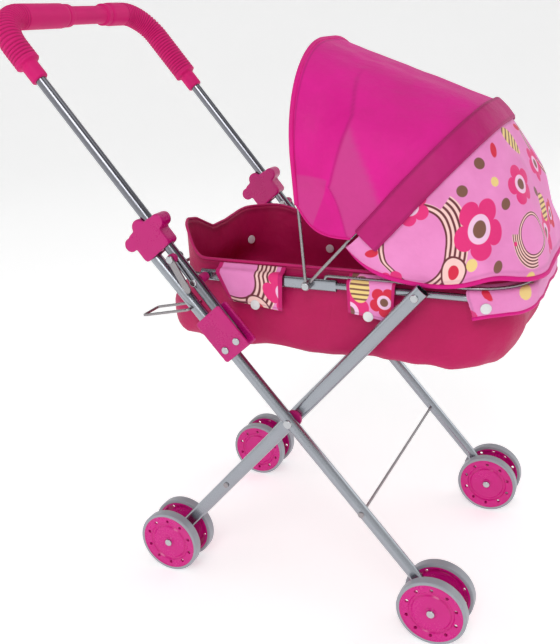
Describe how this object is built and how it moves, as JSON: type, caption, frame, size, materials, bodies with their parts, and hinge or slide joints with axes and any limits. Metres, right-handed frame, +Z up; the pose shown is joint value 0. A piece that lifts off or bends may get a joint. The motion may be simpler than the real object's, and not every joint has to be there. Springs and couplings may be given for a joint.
{
  "type": "doll stroller",
  "caption": "Folding doll stroller with crossed tube legs, twin disc wheels, a U-shaped push handle, a fabric tub and a folding bow hood.",
  "frame": {"origin": "on the floor, under the middle of the whole stroller's bounding box", "axes": "+X forward, away from the person pushing; +Y to the stroller's left; +Z up"},
  "size_m": [0.4594, 0.2634, 0.5191],
  "materials": {
    "silver_tube": "satin",
    "chrome_tube": "polished",
    "steel_wire": "bright",
    "rivet_steel": "bright",
    "pink_plastic": "gloss",
    "pink_block": "gloss",
    "tyre_grey": "satin",
    "grip_foam": "soft matt",
    "spacer_plastic": "matt",
    "snap_white": "gloss",
    "board": "matt",
    "tub_fabric": "woven nylon",
    "hood_fabric": "woven nylon",
    "print_fabric": "printed nylon"
  },
  "bodies": {
    "front_frame": {"front_leg_right": "silver_tube", "front_leg_left": "silver_tube", "front_cross_wire": "steel_wire", "front_axle_right": "rivet_steel", "front_axle_left": "rivet_steel", "hinge_block_right": "pink_block", "hinge_block_left": "pink_block", "frame_rivets": "rivet_steel", "cross_spacers": "spacer_plastic"},
    "rear_frame": {"rear_leg_right": "silver_tube", "rear_leg_left": "silver_tube", "rear_cross_wire": "steel_wire", "rear_axle_right": "rivet_steel", "rear_axle_left": "rivet_steel", "rail_pivots": "rivet_steel", "rail_washers": "spacer_plastic"},
    "bassinet": {"side_rail_right": "silver_tube", "side_rail_left": "silver_tube", "head_rail": "silver_tube", "foot_wire": "steel_wire", "hood_base_wire": "steel_wire", "hood_rivets": "rivet_steel", "tub": "tub_fabric", "base_board": "board", "side_flaps": "print_fabric", "head_apron": "print_fabric", "snaps": "snap_white", "hood_canopy": "print_fabric"},
    "hood_middle": {"hood_bow_middle": "steel_wire", "hood_band": "hood_fabric"},
    "hood_front": {"hood_bow_front": "steel_wire", "hood_visor": "hood_fabric"},
    "handle": {"handle_tube": "chrome_tube", "grip_right": "grip_foam", "grip_left": "grip_foam", "grip_middle": "grip_foam", "handle_rivets": "rivet_steel", "handle_spacers": "spacer_plastic"},
    "collar_right": {"slide_collar_right": "pink_block"},
    "collar_left": {"slide_collar_left": "pink_block"},
    "lever_right": {"catch_lever_right": "steel_wire"},
    "lever_left": {"catch_lever_left": "steel_wire"},
    "bail_right": {"latch_bail_right": "steel_wire"},
    "bail_left": {"latch_bail_left": "steel_wire"},
    "wheel_front_right_outer": {"hub_front_right_outer": "pink_plastic", "tyre_front_right_outer": "tyre_grey"},
    "wheel_front_right_inner": {"hub_front_right_inner": "pink_plastic", "tyre_front_right_inner": "tyre_grey"},
    "wheel_front_left_outer": {"hub_front_left_outer": "pink_plastic", "tyre_front_left_outer": "tyre_grey"},
    "wheel_front_left_inner": {"hub_front_left_inner": "pink_plastic", "tyre_front_left_inner": "tyre_grey"},
    "wheel_rear_right_outer": {"hub_rear_right_outer": "pink_plastic", "tyre_rear_right_outer": "tyre_grey"},
    "wheel_rear_right_inner": {"hub_rear_right_inner": "pink_plastic", "tyre_rear_right_inner": "tyre_grey"},
    "wheel_rear_left_outer": {"hub_rear_left_outer": "pink_plastic", "tyre_rear_left_outer": "tyre_grey"},
    "wheel_rear_left_inner": {"hub_rear_left_inner": "pink_plastic", "tyre_rear_left_inner": "tyre_grey"}
  },
  "joints": [
    {"name": "fold", "type": "hinge", "parent": "front_frame", "child": "rear_frame", "pos_m": [0.04048, 0, 0.17612], "axis": [0, 1, 0], "range_deg": [0, 70]},
    {"name": "handle_fold", "type": "hinge", "parent": "front_frame", "child": "handle", "pos_m": [-0.00264, 0, 0.2465], "axis": [0, 1, 0], "range_deg": [0, 124.5]},
    {"name": "tub_fold", "type": "hinge", "parent": "rear_frame", "child": "bassinet", "pos_m": [0.14429, 0, 0.2931], "axis": [0, 1, 0], "range_deg": [-24.5, 0]},
    {"name": "hood_fold", "type": "hinge", "parent": "bassinet", "child": "hood_middle", "pos_m": [0.0523, 0, 0.2931], "axis": [0, 1, 0], "range_deg": [0, 34], "deforming": ["hood_canopy"]},
    {"name": "visor_fold", "type": "hinge", "parent": "hood_middle", "child": "hood_front", "pos_m": [0.0523, 0, 0.2931], "axis": [0, 1, 0], "range_deg": [0, 39.5], "deforming": ["hood_visor"]},
    {"name": "collar_slide_right", "type": "slide", "parent": "handle", "child": "collar_right", "axis": [-0.6368, 0, 0.7711], "range_m": [0, 0.03]},
    {"name": "lever_swing_right", "type": "hinge", "parent": "handle", "child": "lever_right", "pos_m": [-0.05803, 0, 0.31358], "axis": [0, 1, 0], "range_deg": [-75, 20]},
    {"name": "bail_swing_right", "type": "hinge", "parent": "front_frame", "child": "bail_right", "pos_m": [-0.04364, 0, 0.27154], "axis": [0, 1, 0], "range_deg": [-25, 40]},
    {"name": "collar_slide_left", "type": "slide", "parent": "handle", "child": "collar_left", "axis": [-0.6368, 0, 0.7711], "range_m": [0, 0.03]},
    {"name": "lever_swing_left", "type": "hinge", "parent": "handle", "child": "lever_left", "pos_m": [-0.05803, 0, 0.31358], "axis": [0, 1, 0], "range_deg": [-75, 20]},
    {"name": "bail_swing_left", "type": "hinge", "parent": "front_frame", "child": "bail_left", "pos_m": [-0.04364, 0, 0.27154], "axis": [0, 1, 0], "range_deg": [-25, 40]},
    {"name": "spin_front_right_outer", "type": "hinge", "parent": "front_frame", "child": "wheel_front_right_outer", "pos_m": [0.1693, 0, 0.03], "axis": [0, 1, 0], "continuous": true},
    {"name": "spin_front_right_inner", "type": "hinge", "parent": "front_frame", "child": "wheel_front_right_inner", "pos_m": [0.1693, 0, 0.03], "axis": [0, 1, 0], "continuous": true},
    {"name": "spin_front_left_outer", "type": "hinge", "parent": "front_frame", "child": "wheel_front_left_outer", "pos_m": [0.1693, 0, 0.03], "axis": [0, 1, 0], "continuous": true},
    {"name": "spin_front_left_inner", "type": "hinge", "parent": "front_frame", "child": "wheel_front_left_inner", "pos_m": [0.1693, 0, 0.03], "axis": [0, 1, 0], "continuous": true},
    {"name": "spin_rear_right_outer", "type": "hinge", "parent": "rear_frame", "child": "wheel_rear_right_outer", "pos_m": [-0.0892, 0, 0.03], "axis": [0, 1, 0], "continuous": true},
    {"name": "spin_rear_right_inner", "type": "hinge", "parent": "rear_frame", "child": "wheel_rear_right_inner", "pos_m": [-0.0892, 0, 0.03], "axis": [0, 1, 0], "continuous": true},
    {"name": "spin_rear_left_outer", "type": "hinge", "parent": "rear_frame", "child": "wheel_rear_left_outer", "pos_m": [-0.0892, 0, 0.03], "axis": [0, 1, 0], "continuous": true},
    {"name": "spin_rear_left_inner", "type": "hinge", "parent": "rear_frame", "child": "wheel_rear_left_inner", "pos_m": [-0.0892, 0, 0.03], "axis": [0, 1, 0], "continuous": true}
  ],
  "couplings": [
    {"joint": "handle_fold", "follows": "fold", "ratio": 1.7714},
    {"joint": "tub_fold", "follows": "fold", "ratio": -0.3414},
    {"joint": "visor_fold", "follows": "hood_fold", "ratio": 1.1471}
  ]
}
